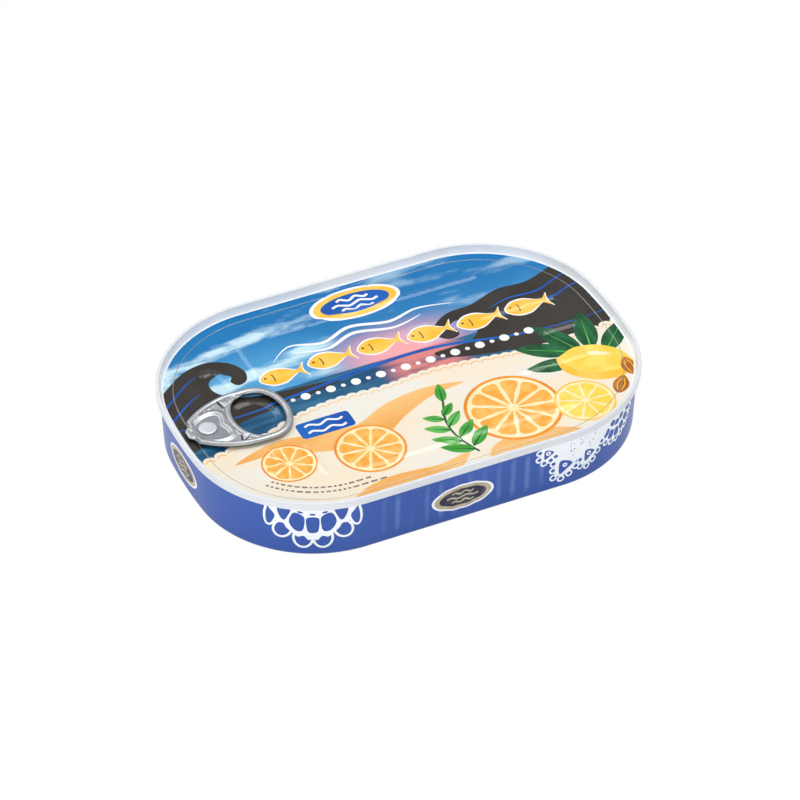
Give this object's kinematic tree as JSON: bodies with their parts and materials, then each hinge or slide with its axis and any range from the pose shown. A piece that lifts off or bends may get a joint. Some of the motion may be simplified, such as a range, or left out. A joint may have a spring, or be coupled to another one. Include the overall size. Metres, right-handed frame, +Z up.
{
  "type": "shallow oblong fish tin with ring-pull lid",
  "caption": "Shut shallow oblong food tin of herring fillets, with a double seam, a recessed printed lid and a flat metal ring pull at one end.",
  "frame": {"origin": "middle of the base, at the bottom centre of the bounding box", "axes": "+X along the tin away from the ring pull's end, +Z up through the lid"},
  "size_m": [0.142, 0.0966, 0.0216],
  "materials": {
    "printed_wall": "gloss blue print",
    "lacquered_lid": "gloss white lacquer",
    "bare_metal": "satin",
    "rivet_metal": "pale satin"
  },
  "bodies": {
    "root": {"can_body": "printed_wall", "lid_end": "lacquered_lid", "tab": "bare_metal", "rivet": "rivet_metal"}
  },
  "joints": []
}
